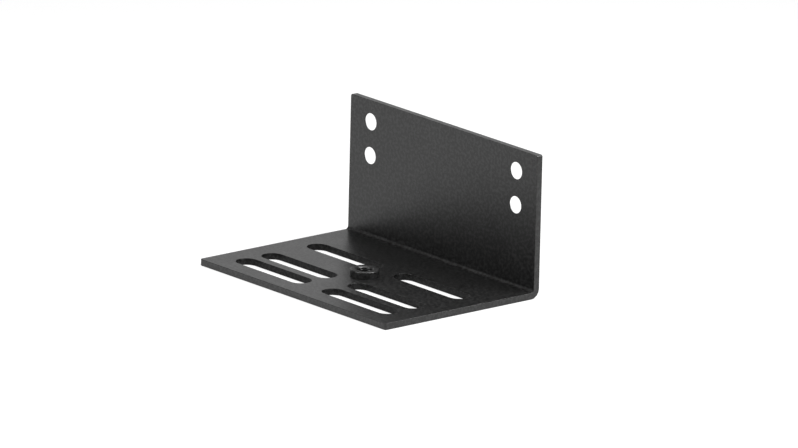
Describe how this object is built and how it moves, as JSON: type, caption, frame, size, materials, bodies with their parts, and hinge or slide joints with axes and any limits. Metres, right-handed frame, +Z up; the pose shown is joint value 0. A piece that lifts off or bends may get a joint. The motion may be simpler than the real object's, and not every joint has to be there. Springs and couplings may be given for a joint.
{
  "type": "rack mount ear bracket",
  "caption": "Folded sheet-steel angle bracket: slotted flat leg, upright with countersunk corner holes, and a round threaded nut pressed into the leg.",
  "frame": {"origin": "under the middle of the bracket, on the underside of the flat leg", "axes": "+X along the fold, +Y from the leg's free edge towards the upright's back face, +Z up along the upright"},
  "size_m": [0.1302, 0.09, 0.0667],
  "materials": {
    "powder_coat": "satin black powder coat with a fine grain",
    "nut_finish": "satin black coat, worn thin at the mouth of the thread"
  },
  "bodies": {
    "root": {"bracket": "powder_coat", "clinch_nut": "nut_finish"}
  },
  "joints": []
}
